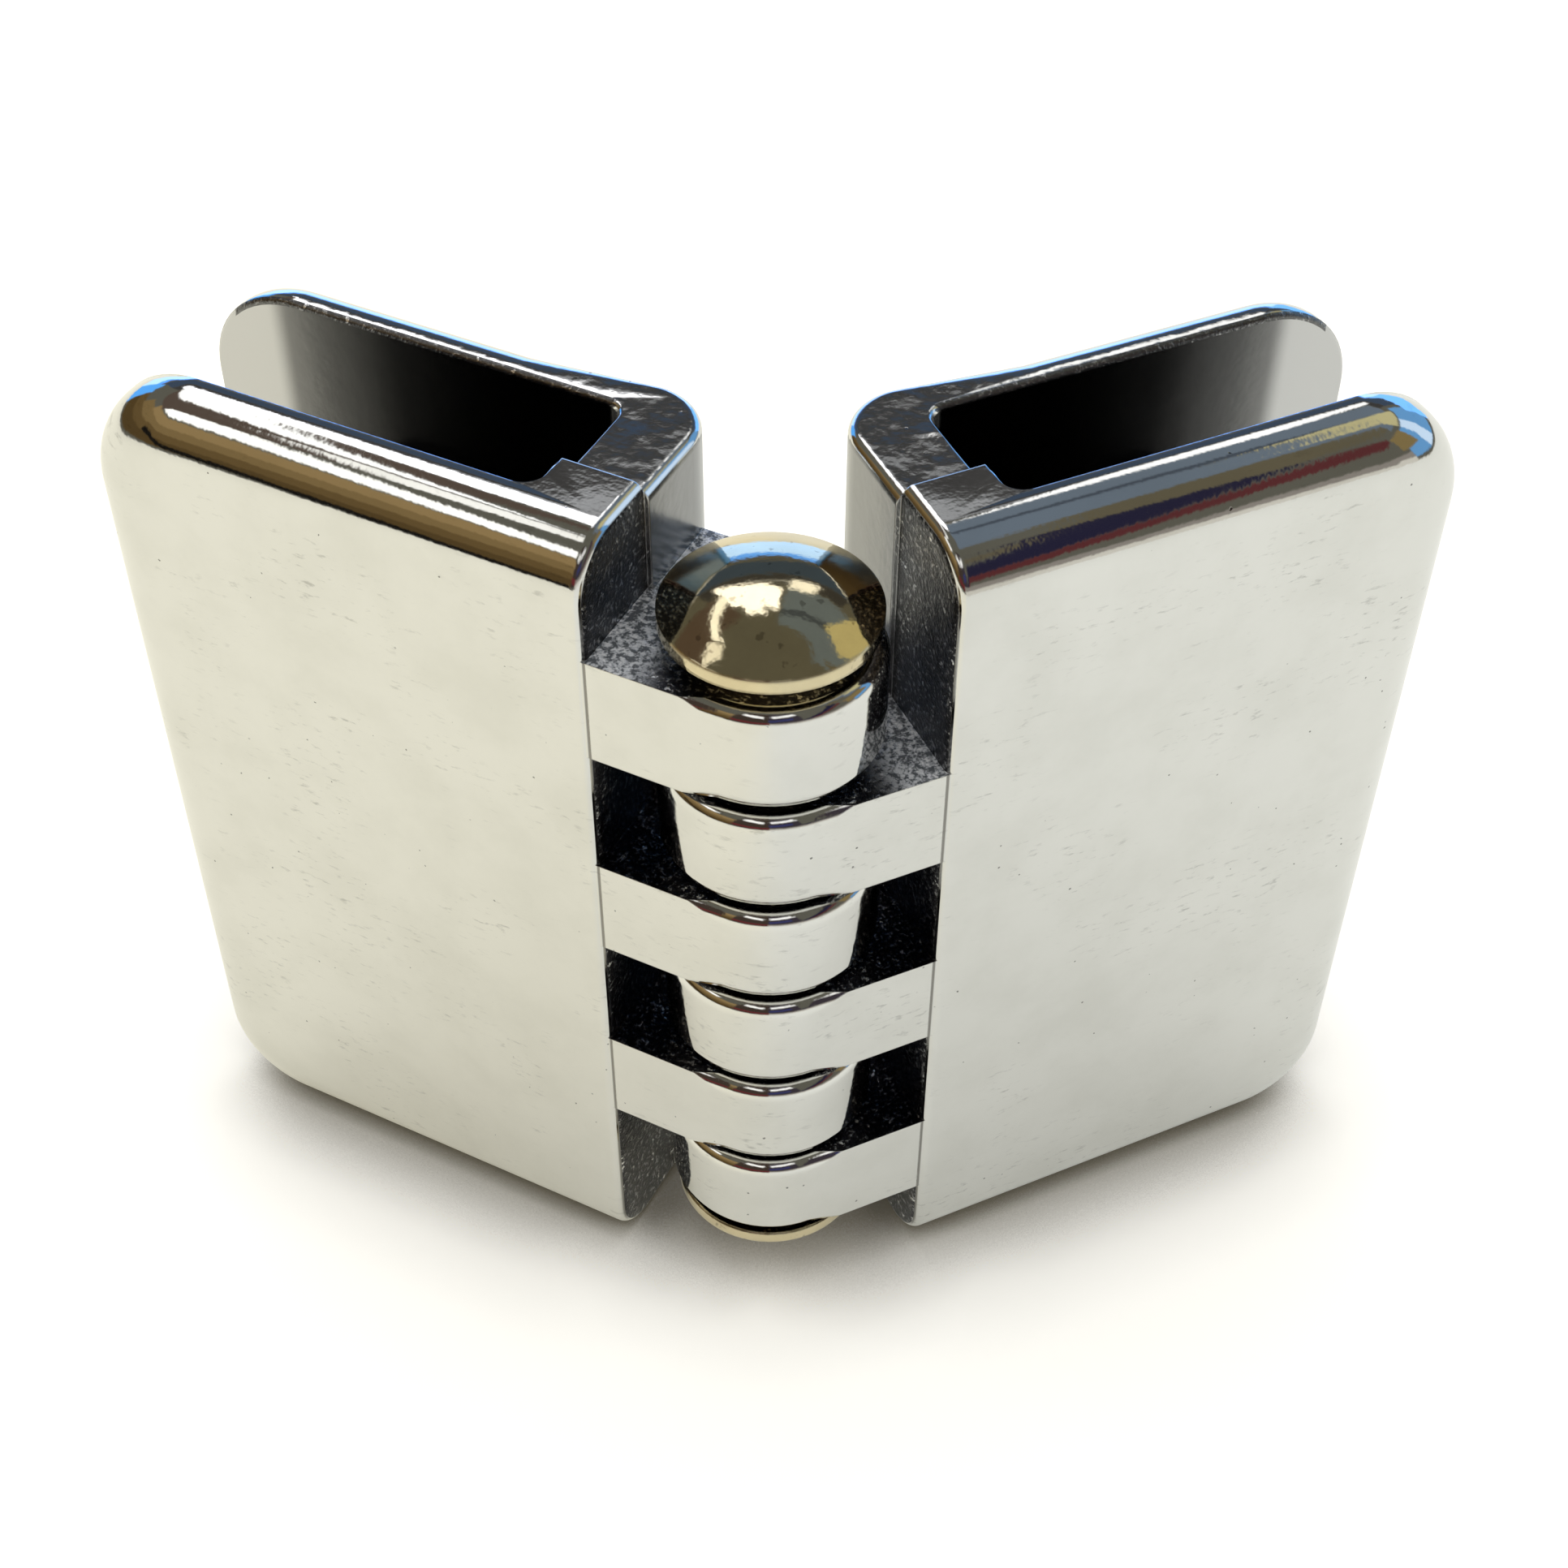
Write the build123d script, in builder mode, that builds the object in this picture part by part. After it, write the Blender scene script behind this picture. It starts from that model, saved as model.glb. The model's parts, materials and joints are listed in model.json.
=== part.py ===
from build123d import *
import math
import os

# Acrylic corner hinge: two die-cast clamp bodies with interleaved knuckles, turning on one headed pin.
# Millimetres, +Z up. The origin is the middle of the footprint, on the surface that the hinge stands on.
# The pin axis is vertical, and both leaves sweep back from it towards +Y.

# Pose at rest: the sweep of each leaf behind the straight line through the pin
leaf_sweep = 25.5

# Leaf: reaches run outwards from the pin axis, depths run back from the front face
body_height = 45.0
wall_reach = 5.8
leaf_length = 24.7
front_thickness = 3.4
slot_width = 6.5
rear_thickness = 2.1
web_thickness = 3.9
web_relief = 0.45
web_step_depth = 5.3
wall_step = 0.25
rear_drop = 0.35

# Rounded edges of the leaf
outline_radius = 5.0
front_round = 2.7
rear_round = 1.5
rear_taper_length = 6.0
hinge_corner_radius = 3.0
wall_round = 0.5
slot_corner_radius = 0.8
slot_edge_chamfer = 0.25

# Knuckles
barrel_radius = 4.8
face_step = 0.12
knuckles_per_leaf = 3
knuckle_gap = 0.6
end_margin = 5.3
knuckle_round = 0.7
knuckle_run_out = 1.6

# Pin, with a domed head at both ends; the lower one stands closer to its knuckle
pin_radius = 2.0
running_clearance = 0.05
press_clearance = 0.02
axial_clearance = 0.1
head_radius = 4.55
head_rim = 0.62
head_crown = 1.25
head_stand_off = 1.0
cap_stand_off = 0.35
collar_radius = 3.3
spigot_radius = 1.1
spigot_length = 6.0

# Clamp screws with their pads, which press the panel against the front plate
panel_thickness = 4.6
screw_radius = 2.0
thread_clearance = 0.05
screw_length = 3.2
screw_chamfer = 0.35
screw_point_radius = 1.2
screw_point_length = 0.5
hex_flats = 2.0
hex_depth = 1.8
hole_chamfer = 0.3
screw_margin = 11.0
pad_radius = 3.9
pad_thickness = 1.2
pad_edge_chamfer = 0.25

# How far the wastes that cut right through reach past the faces
cut_margin = 1.0

# Places that follow from the sizes above
front_face = -(barrel_radius + face_step)
slot_front = front_face + front_thickness
slot_rear = slot_front + slot_width
rear_face = slot_rear + rear_thickness
web_step = front_face + web_step_depth
leaf_end = wall_reach + leaf_length
slot_start = wall_reach + web_thickness
rear_wall_reach = wall_reach - wall_step
taper_start = rear_wall_reach + hinge_corner_radius
plate_start = taper_start + rear_taper_length
knuckle_count = 2 * knuckles_per_leaf
stack_height = body_height - 2 * end_margin
knuckle_height = (stack_height - (knuckle_count - 1) * knuckle_gap) / knuckle_count
knuckle_pitch = knuckle_height + knuckle_gap
screw_reach = (slot_start + leaf_end) / 2
pad_front = slot_front + panel_thickness
sweep = math.radians(leaf_sweep)
rear_reach = (
    (rear_face - rear_round) * math.cos(sweep)
    + (leaf_end - rear_round) * math.sin(sweep)
    + rear_round
)
pin_y = (barrel_radius - rear_reach) / 2

# One casting serves both sides: the left body is the right one turned upside down.
# In a leaf frame X runs outwards from the pin axis, Y runs back and Z runs along the pin.
right_frame = Plane(
    origin=(0, pin_y, 0),
    x_dir=(math.cos(sweep), math.sin(sweep), 0),
    z_dir=(0, 0, 1),
)
left_frame = Plane(
    origin=(0, pin_y, body_height),
    x_dir=(-math.cos(sweep), math.sin(sweep), 0),
    z_dir=(0, 0, -1),
)
pin_frame = Plane(origin=(0, pin_y, 0), x_dir=(1, 0, 0), z_dir=(0, 0, 1))


def depth_plane(frame, reach, depth, height):
    """Plane square to the leaf's depth, looking back through the leaf from the given point."""
    return Plane(
        origin=frame.from_local_coords(Vector(reach, depth, height)),
        x_dir=frame.x_dir,
        z_dir=frame.y_dir,
    )


def reach_plane(frame, reach):
    """Plane square to the leaf's reach: its X is the leaf's depth and its Y the height."""
    return Plane(
        origin=frame.from_local_coords(Vector(reach, 0, 0)),
        x_dir=frame.y_dir,
        z_dir=frame.x_dir,
    )


def leaf_points(frame, edge):
    """Start, middle and end of an edge in leaf coordinates."""
    return [frame.to_local_coords(edge.position_at(share)) for share in (0.0, 0.5, 1.0)]


def edges_at(part, frame, **places):
    """Edges lying wholly at the given leaf coordinates, such as X=wall_reach."""
    found = ShapeList()
    for edge in part.edges():
        points = leaf_points(frame, edge)
        if all(abs(getattr(p, axis) - place) < 0.01 for p in points for axis, place in places.items()):
            found.append(edge)
    return found


def block(frame, reaches, depths, heights):
    """Fill a box given by its limits in the leaf frame."""
    with BuildSketch(frame.offset(heights[0])) as plan:
        with Locations((sum(reaches) / 2, sum(depths) / 2)):
            Rectangle(reaches[1] - reaches[0], depths[1] - depths[0])
    return extrude(plan.sketch, amount=heights[1] - heights[0], mode=Mode.PRIVATE)


def build_plate(frame, depths, heights, outer_depth, outer_round):
    """Outer part of a plate, with its round-over along top, outer end and bottom."""
    with BuildPart() as plate:
        add(block(frame, (plate_start, leaf_end), depths, heights))
        for height in heights:
            fillet(edges_at(plate.part, frame, X=leaf_end, Z=height), outline_radius)
        rim = edges_at(plate.part, frame, Y=outer_depth)
        fillet(rim - edges_at(plate.part, frame, Y=outer_depth, X=plate_start), outer_round)
    return plate.part


def build_front_root(frame):
    """Hinge-side end of the front plate, with the front of the web."""
    with BuildPart() as root:
        add(block(frame, (wall_reach, plate_start), (front_face, web_step), (0, body_height)))
        for height in (0, body_height):
            fillet(edges_at(root.part, frame, Y=front_face, Z=height), front_round)
        wall_rim = edges_at(root.part, frame, X=wall_reach)
        fillet(wall_rim - edges_at(root.part, frame, X=wall_reach, Y=web_step), wall_round)
    return root.part


def build_rear_root(frame, heights):
    """Hinge-side end of the rear plate, with the rear of the web and its rounded corner."""
    with BuildPart() as root:
        add(block(frame, (rear_wall_reach, plate_start), (web_step, rear_face), heights))
        fillet(edges_at(root.part, frame, X=rear_wall_reach, Y=rear_face), hinge_corner_radius)
        fillet(
            [edges_at(root.part, frame, X=rear_wall_reach, Z=height)[0] for height in heights],
            wall_round,
        )
    return root.part


def build_rear_tapers(frame, heights):
    """Wastes that open the small rear round of the hinge side out to the full one of the plate."""
    tapers = []
    for inward, height in ((1, heights[0]), (-1, heights[1])):
        with BuildPart() as waste:
            for reach, radius in ((taper_start, wall_round), (plate_start, rear_round)):
                with BuildSketch(reach_plane(frame, reach)):
                    arc_start = (rear_face - radius, height)
                    arc_end = (rear_face, height + inward * radius)
                    outside = (rear_face + cut_margin, height - inward * cut_margin)
                    with BuildLine():
                        Polyline(
                            arc_start,
                            (arc_start[0], outside[1]),
                            outside,
                            (outside[0], arc_end[1]),
                            arc_end,
                        )
                        RadiusArc(arc_end, arc_start, inward * radius)
                    make_face()
            loft()
        tapers.append(waste.part)
    return tapers


def build_slot(frame):
    """Waste of the panel slot. At the web its rear part runs a little further in than its front."""
    with BuildPart() as slot:
        with BuildSketch(frame.offset(-cut_margin)):
            for start, depths in (
                (slot_start, (slot_front, slot_rear)),
                (slot_start - web_relief, (web_step, slot_rear)),
            ):
                end = leaf_end + cut_margin
                with Locations(((start + end) / 2, sum(depths) / 2)):
                    Rectangle(end - start, depths[1] - depths[0])
        extrude(amount=body_height + 2 * cut_margin)
        fillet(edges_at(slot.part, frame, X=slot_start, Y=slot_front), slot_corner_radius)
        fillet(edges_at(slot.part, frame, X=slot_start - web_relief, Y=slot_rear), slot_corner_radius)
    return slot.part


def rim_section(frame, side, rim, inward):
    """Section of the waste at a knuckle's rim, where its round-over is worked as two bevels."""
    bevel_inset = knuckle_round * (1 - math.sqrt(0.5))
    beyond = rim - inward * knuckle_gap / 2
    outside = barrel_radius + cut_margin
    with BuildSketch(reach_plane(frame, 0)) as section:
        with BuildLine():
            Polyline(
                (side * barrel_radius, rim + inward * knuckle_round),
                (side * (barrel_radius - bevel_inset), rim + inward * bevel_inset),
                (side * (barrel_radius - knuckle_round), rim),
                (side * (barrel_radius - knuckle_round), beyond),
                (side * outside, beyond),
                (side * outside, rim + inward * knuckle_round),
                close=True,
            )
        make_face()
    return section.sketch.face()


def build_knuckle_waste(frame, bases):
    """Waste along the knuckles' rims: round the barrels' free halves, then running out on the arms."""
    with BuildPart() as waste:
        for base in bases:
            for rim, inward in ((base, 1), (base + knuckle_height, -1)):
                front = rim_section(frame, -1, rim, inward)
                rear = rim_section(frame, 1, rim, inward)
                revolve(rear, axis=Axis(frame.origin, frame.z_dir), revolution_arc=180)
                for side, section in ((-1, front), (1, rear)):
                    run_out = Vector(knuckle_run_out, side * barrel_radius, rim)
                    loft([section, Vertex(*frame.from_local_coords(run_out))])
    return waste.part


def build_clamp_body(frame, bore_clearance):
    """Casting with front plate, rear plate, web and three bored knuckles, as a builder."""
    rear_heights = (rear_drop, body_height - rear_drop)
    front_plate = build_plate(
        frame, (front_face, slot_front), (0, body_height), front_face, front_round
    )
    rear_plate = build_plate(frame, (slot_rear, rear_face), rear_heights, rear_face, rear_round)
    front_root = build_front_root(frame)
    rear_root = build_rear_root(frame, rear_heights)
    rear_tapers = build_rear_tapers(frame, rear_heights)
    slot = build_slot(frame)
    knuckle_bases = [end_margin + 2 * index * knuckle_pitch for index in range(knuckles_per_leaf)]
    knuckle_waste = build_knuckle_waste(frame, knuckle_bases)
    arm_length = wall_reach + web_thickness / 2

    with BuildPart() as body:
        add([front_root, rear_root, front_plate, rear_plate])
        add([*rear_tapers, slot], mode=Mode.SUBTRACT)
        slot_rims = ShapeList()
        for depth, low, high in (
            (slot_front, 0, body_height),
            (slot_rear, rear_drop, body_height - rear_drop),
        ):
            for height in (low, high):
                slot_rims += edges_at(body.part, frame, Y=depth, Z=height)
        chamfer(slot_rims, slot_edge_chamfer)

        # Knuckles: barrels on square arms as thick as the barrel, rounded at the free end
        for base in knuckle_bases:
            with BuildSketch(frame.offset(base)):
                with Locations((arm_length / 2, 0)):
                    Rectangle(arm_length, 2 * barrel_radius)
                Circle(barrel_radius)
            extrude(amount=knuckle_height)
        add(knuckle_waste, mode=Mode.SUBTRACT)
        with BuildSketch(frame):
            Circle(pin_radius + bore_clearance)
        extrude(amount=body_height, mode=Mode.SUBTRACT)

        # Tapped holes through the rear plate
        for height in (screw_margin, body_height - screw_margin):
            with BuildSketch(depth_plane(frame, screw_reach, slot_rear, height)):
                Circle(screw_radius + thread_clearance)
            extrude(amount=rear_thickness, mode=Mode.SUBTRACT)
        hole_mouths = edges_at(body.part, frame, Y=rear_face).filter_by(GeomType.CIRCLE)
        chamfer(hole_mouths.filter_by(lambda edge: edge.is_closed), hole_chamfer)
    return body


def build_head(seat_plane, stand_off):
    """Domed head on its collar, seated on the given plane and rising along its normal."""
    section = Plane(origin=seat_plane.origin, x_dir=seat_plane.x_dir, z_dir=-seat_plane.y_dir)
    rim_top = stand_off + head_rim
    dome_radius = (head_radius**2 + head_crown**2) / (2 * head_crown)
    with BuildPart() as head:
        with BuildSketch(section):
            with BuildLine():
                Polyline(
                    (0, rim_top + head_crown),
                    (0, 0),
                    (collar_radius, 0),
                    (collar_radius, stand_off),
                    (head_radius, stand_off),
                    (head_radius, rim_top),
                )
                RadiusArc((0, rim_top + head_crown), (head_radius, rim_top), dome_radius)
            make_face()
        revolve(axis=Axis(seat_plane.origin, seat_plane.z_dir))
    return head.part


def build_clamp_screw(frame, height):
    """Socket set screw with a dog point towards the panel and its hexagon at the back."""
    point_plane = depth_plane(frame, screw_reach, pad_front + pad_thickness, height)
    with BuildPart() as screw:
        with BuildSketch(point_plane):
            Circle(screw_radius)
        extrude(amount=screw_length)
        chamfer(screw.edges().filter_by(GeomType.CIRCLE), screw_chamfer)
        with BuildSketch(point_plane):
            Circle(screw_point_radius)
        extrude(amount=-screw_point_length)
        with BuildSketch(point_plane.offset(screw_length)):
            RegularPolygon(radius=hex_flats / 2, side_count=6, major_radius=False)
        extrude(amount=-hex_depth, mode=Mode.SUBTRACT)
    return screw


def build_clamp_pad(frame, height):
    """Round pad that rides on the point of its screw and bears on the panel."""
    face_plane = depth_plane(frame, screw_reach, pad_front, height)
    with BuildPart() as pad:
        with BuildSketch(face_plane):
            Circle(pad_radius)
        extrude(amount=pad_thickness)
        chamfer(pad.edges().filter_by(GeomType.CIRCLE), pad_edge_chamfer)
        with BuildSketch(face_plane.offset(pad_thickness)):
            Circle(screw_point_radius + press_clearance)
        extrude(amount=-screw_point_length, mode=Mode.SUBTRACT)
    return pad


os.makedirs("parts", exist_ok=True)

# The two clamp bodies: the pin is fast in the left one and turns in the right one
right_clamp_body = build_clamp_body(right_frame, running_clearance)
right_clamp_body.part.label = "right_clamp_body"
export_step(right_clamp_body.part, "parts/right_clamp_body.step")

left_clamp_body = build_clamp_body(left_frame, press_clearance)
left_clamp_body.part.label = "left_clamp_body"
export_step(left_clamp_body.part, "parts/left_clamp_body.step")

# The hinge pin: its head stands on the top knuckle, and a blind hole takes the end cap
head_seat = pin_frame.offset(body_height - end_margin)
cap_seat = pin_frame.offset(end_margin - axial_clearance)
pin_head = build_head(head_seat, head_stand_off)
with BuildPart() as hinge_pin:
    with BuildSketch(cap_seat):
        Circle(pin_radius)
    extrude(amount=stack_height + axial_clearance)
    add(pin_head)
    with BuildSketch(cap_seat):
        Circle(spigot_radius + press_clearance)
    extrude(amount=spigot_length, mode=Mode.SUBTRACT)
hinge_pin.part.label = "hinge_pin"
export_step(hinge_pin.part, "parts/hinge_pin.step")

# The end cap: the same head upside down, with a spigot pressed into the pin
cap_underside = Plane(origin=cap_seat.origin, x_dir=cap_seat.x_dir, z_dir=-cap_seat.z_dir)
cap_head = build_head(cap_underside, cap_stand_off)
with BuildPart() as pin_end_cap:
    add(cap_head)
    with BuildSketch(cap_seat):
        Circle(spigot_radius)
    extrude(amount=spigot_length)
pin_end_cap.part.label = "pin_end_cap"
export_step(pin_end_cap.part, "parts/pin_end_cap.step")

# Two clamp screws and their pads in each leaf, named by their level in the room
near_base = screw_margin
near_top = body_height - screw_margin
for side, frame, levels in (
    ("left", left_frame, {"lower": near_top, "upper": near_base}),
    ("right", right_frame, {"lower": near_base, "upper": near_top}),
):
    for level, height in levels.items():
        screw = build_clamp_screw(frame, height)
        screw.part.label = f"{side}_{level}_clamp_screw"
        export_step(screw.part, f"parts/{side}_{level}_clamp_screw.step")
        pad = build_clamp_pad(frame, height)
        pad.part.label = f"{side}_{level}_clamp_pad"
        export_step(pad.part, f"parts/{side}_{level}_clamp_pad.step")
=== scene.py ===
import json
import math
from itertools import combinations

import bmesh
import bpy
from mathutils import Matrix, Vector


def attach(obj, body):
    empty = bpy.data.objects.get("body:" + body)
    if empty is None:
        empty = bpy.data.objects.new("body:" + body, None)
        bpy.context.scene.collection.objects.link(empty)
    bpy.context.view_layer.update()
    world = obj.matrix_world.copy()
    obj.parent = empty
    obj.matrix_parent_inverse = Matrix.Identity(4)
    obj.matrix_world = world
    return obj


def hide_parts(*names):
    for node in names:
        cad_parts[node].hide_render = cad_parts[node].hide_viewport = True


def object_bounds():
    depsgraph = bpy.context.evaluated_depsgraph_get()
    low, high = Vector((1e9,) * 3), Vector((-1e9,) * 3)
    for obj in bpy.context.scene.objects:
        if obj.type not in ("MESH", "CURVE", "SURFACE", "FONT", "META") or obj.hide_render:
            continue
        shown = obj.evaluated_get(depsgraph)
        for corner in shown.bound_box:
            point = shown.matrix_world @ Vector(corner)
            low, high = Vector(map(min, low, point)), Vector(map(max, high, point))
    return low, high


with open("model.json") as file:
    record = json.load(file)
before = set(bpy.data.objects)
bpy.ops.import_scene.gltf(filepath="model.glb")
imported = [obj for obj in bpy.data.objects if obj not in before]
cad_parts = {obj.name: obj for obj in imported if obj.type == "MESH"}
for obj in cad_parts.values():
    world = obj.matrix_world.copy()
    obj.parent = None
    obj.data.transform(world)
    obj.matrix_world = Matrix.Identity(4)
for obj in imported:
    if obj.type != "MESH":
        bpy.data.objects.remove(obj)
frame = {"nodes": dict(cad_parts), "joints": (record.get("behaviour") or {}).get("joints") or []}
cad_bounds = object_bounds()

bl_info = {
    "name": "Acrylic Corner Hinge",
    "version": (1, 0, 0),
    "blender": (4, 5, 0),
    "location": "View3D > Sidebar > Corner Hinge",
    "description": "Plates and stages a corner hinge that clamps two acrylic panels",
    "category": "Object",
}

MM = 0.001
SIDES = ("left", "right")
LEVELS = ("lower", "upper")
WHITE = (1.0, 1.0, 1.0, 1.0)

# The leaf's own directions: reach runs outwards from the pin and depth runs back
LEAF_SWEEP = math.radians(25.5)
SWING = next(joint for joint in frame["joints"] if joint["name"] == "right_leaf_swing")
PIN = Vector((SWING["pos_m"][0], SWING["pos_m"][1], 0.0))

# Depths and reaches that part the finishes of a casting, in metres
SLOT_FRONT = -1.52 * MM
SLOT_REAR = 4.98 * MM
SLOT_RIM = 0.3 * MM
WALL_REACH = 5.8 * MM
WALL_MARGIN = 0.6 * MM
WALL_STEP = 0.38 * MM
WEB_END = 9.7 * MM
LEAF_END = 30.5 * MM

# Height of the middle, and how far from it the outermost knuckles' open ends begin
MIDDLE = 22.5 * MM
OUTERMOST = 11.0 * MM

# How grainy, dented, dull and frosted the faces of a casting were left, each from 0 to 1; the frost is a
# lighter, lit copy of the as-cast plating on the open knuckle ends
SHARES = ("grain_share", "dent_share", "dull_share", "lit_frost_share")
POLISHED = (0.0, 0.0, 0.0, 0.0)
GRAINY_SLOT_RIM = (0.8, 0.0, 0.0, 0.0)
# Knuckle faces in the gaps keep the dark grainy plating as painted shade between the knuckles; the open ends
# get its lighter, lit frosted copy
GRAINY_SHADED_KNUCKLE = (1.0, 0.0, 0.0, 0.0)
FROSTED_LIT_KNUCKLE = (1.0, 0.0, 0.0, 1.0)
DENTED_WEB = (0.06, 1.0, 0.0, 0.0)
DENTED_FRONT = (0.05, 0.6, 0.0, 0.0)
ROUGH_WALL = (1.0, 1.0, 0.0, 0.0)
THINLY_PLATED = (0.0, 0.3, 1.0, 0.0)

# How level a face lies, from 0 for an upright one to 1, and how squarely a wall faces the pin
LEVEL_FACE = 0.95
SLOPING_FACE = 0.5
FACING_PIN = 0.9

MERGE_DISTANCE = 0.002 * MM
FLAT_ANGLE = math.radians(0.2)
SMOOTH_ANGLE = math.radians(50.0)
FLAT_AREA = 5.0 * MM * MM

# Noise scales in waves per metre, from the slowest to the finest
CLUSTER_SCALE = 170.0
MOTTLE_SCALE = 230.0
SWELL_SCALE = 420.0
PIN_MOTTLE_SCALE = 450.0
PAD_CLOUD_SCALE = 700.0
SCREW_STAIN_SCALE = 900.0
WEAR_SCALE = 1500.0
WRINKLE_SCALE = 1700.0
STREAK_SCALE = 3200.0
PEEL_SCALE = 3600.0
TURNING_SCALE = 6000.0
WANDER_SCALE = 7000.0
MOULDED_SCALE = 9000.0

# Noise levels between which each kind of mark fades in
STREAK_LEVELS = (0.56, 0.74)
CLUSTER_LEVELS = (0.44, 0.64)
HAZE_LEVELS = (0.35, 0.75)
GRAIN_LEVELS = (0.53, 0.66)
# Painted sparkles of light on the as-cast faces
PAINTED_SPARKLE_LEVELS = (0.63, 0.67)
FROST_LEVELS = (0.42, 0.56)
# White painted glints on the open knuckle ends
PAINTED_GLINT_LEVELS = (0.56, 0.59)
WEAR_LEVELS = (0.64, 0.72)

# Roughness from the lowest to the highest, and how far a polish strays from its set roughness
GRAIN_ROUGHNESS = (0.10, 0.30)
SCREW_ROUGHNESS = (0.22, 0.42)
PAD_ROUGHNESS = (0.5, 0.7)
POLISH_SPREAD = (0.5, 1.5)
PIN_SPREAD = (0.5, 1.6)

# Marks in the chrome: how far streaks are drawn out, and how specks are bent, sized and thinned out
STREAK_STRETCH = (0.32, 0.32, 1.0)
SPECK_BEND = 0.12 * MM
SPECK_REACH = (0.03, 0.10)
SPECK_CHANCE = (0.58, 0.62)
STREAK_COLOUR = (0.20, 0.20, 0.19, 1.0)
STREAK_STRENGTH = 0.42
PIT_COLOUR = (0.07, 0.07, 0.06, 1.0)
PIT_STRENGTH = 0.80
PIT_DEPTH = 0.004 * MM
# White flecks painted on the as-cast faces as sparkles of light
PAINTED_SPARKLE_COLOUR = (0.90, 0.90, 0.90, 1.0)
PAINTED_SPARKLES_PER_GRAIN = 0.45
FLAKES_PER_GRAIN = 0.9

# Seam between the arms and the plate: its reach, and where it fades across and in depth
SEAM_REACH = WALL_REACH + 0.03 * MM
SEAM_FADE = (0.10 * MM, 0.03 * MM)
SEAM_DEPTHS = (-4.2 * MM, -4.6 * MM)
SEAM_COLOUR = (0.10, 0.09, 0.08, 1.0)
SEAM_STRENGTH = 0.75
SEAM_GROOVE = 0.03 * MM

# Reaches over which the thin plating changes its tone, from the wall out to the slot's mouth; the tone
# darkens into the slots as painted shade and lifts towards their mouths
WALL_BORDER = (7.0 * MM, 8.0 * MM)
DEEP_SLOT = (12.0 * MM, 24.0 * MM)
OUTER_SLOT = (20.0 * MM, LEAF_END)
SLOT_MOUTH = (LEAF_END - 4.6 * MM, LEAF_END - 3.4 * MM)
DEEPEST_SHADE_SHARE = 0.4
MOUTH_SHARE = 1.9

# Reaches over which the open knuckle ends come out of the painted shade under the pin's head into their lit
# frosted colour, and then take painted glints
HEAD_SHADE_TO_FROST = (2.2 * MM, 4.4 * MM)
PAINTED_GLINT_START = (3.0 * MM, 5.6 * MM)

# Wear on the pin, and how finely edges are rounded in the shading
WEAR_COLOUR = (0.16, 0.12, 0.07, 1.0)
WEAR_STRENGTH = 0.5
WRINKLE_SHARE = 0.35
EDGE_SAMPLES = 4

# Height of the fine relief on the screws and the pads
TURNING_MARKS = 0.004 * MM
MOULDED_GRAIN = 0.008 * MM


def leaf_axes(side):
    """Outward and backward directions of a leaf."""
    outwards = 1.0 if side == "right" else -1.0
    reach = Vector((outwards * math.cos(LEAF_SWEEP), math.sin(LEAF_SWEEP), 0.0))
    depth = Vector((-outwards * math.sin(LEAF_SWEEP), math.cos(LEAF_SWEEP), 0.0))
    return reach, depth


class NodeSheet:
    """Short calls for laying out one node tree."""

    def __init__(self, tree):
        self.tree = tree
        tree.nodes.clear()

    def add(self, kind, inputs=None, **settings):
        """Add a node, set its options, and set or link its inputs by name or number."""
        node = self.tree.nodes.new(kind)
        for name, value in settings.items():
            setattr(node, name, value)
        for key, value in (inputs or {}).items():
            if isinstance(value, bpy.types.NodeSocket):
                self.tree.links.new(value, node.inputs[key])
            else:
                node.inputs[key].default_value = value
        return node

    def math(self, operation, first, second=0.0, third=0.0, clamp=False):
        """Result of one sum on numbers."""
        inputs = {0: first, 1: second, 2: third}
        return self.add("ShaderNodeMath", inputs, operation=operation, use_clamp=clamp).outputs[0]

    def product(self, first, second):
        """Product of two numbers."""
        return self.math("MULTIPLY", first, second)

    def parts(self, vector):
        """X, Y and Z of a vector."""
        return self.add("ShaderNodeSeparateXYZ", {0: vector}).outputs

    def share(self, name):
        """Share from 0 to 1 that the faces carry under a name."""
        return self.add("ShaderNodeAttribute", attribute_name=name).outputs["Fac"]

    def mix(self, share, first, second):
        """Blend of two numbers."""
        node = self.add("ShaderNodeMix", {0: share, 2: first, 3: second})
        return node.outputs[0]

    def tint(self, share, first, second, blend="MIX"):
        """Blend of two colours."""
        node = self.add(
            "ShaderNodeMix", {0: share, 6: first, 7: second}, data_type="RGBA", blend_type=blend
        )
        return node.outputs[2]

    def step(self, value, low, high):
        """Smooth rise from 0 at low to 1 at high."""
        node = self.add(
            "ShaderNodeMapRange", {0: value, 1: low, 2: high}, interpolation_type="SMOOTHSTEP"
        )
        return node.outputs[0]

    def noise(self, place, scale, detail=2.0, roughness=0.5):
        """Smooth noise in the range 0 to 1."""
        node = self.add(
            "ShaderNodeTexNoise",
            {"Vector": place, "Scale": scale, "Detail": detail, "Roughness": roughness},
        )
        return node.outputs["Fac"]

    def relief(self, height, edge_round=0.0):
        """Surface direction with a height laid on it, and rounded edges where a radius is given."""
        inputs = {"Strength": 1.0, "Distance": 1.0, "Height": height}
        if edge_round > 0.0:
            edge = self.add("ShaderNodeBevel", {"Radius": edge_round}, samples=EDGE_SAMPLES)
            inputs["Normal"] = edge.outputs[0]
        return self.add("ShaderNodeBump", inputs).outputs[0]

    def place(self, turn=0.0):
        """Object coordinates counted from the pin and turned with the leaf."""
        coordinates = self.add("ShaderNodeTexCoord").outputs["Object"]
        mapping = self.add(
            "ShaderNodeMapping",
            {"Vector": coordinates, "Location": PIN, "Rotation": (0.0, 0.0, turn)},
            vector_type="TEXTURE",
        )
        return mapping.outputs[0]


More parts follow.
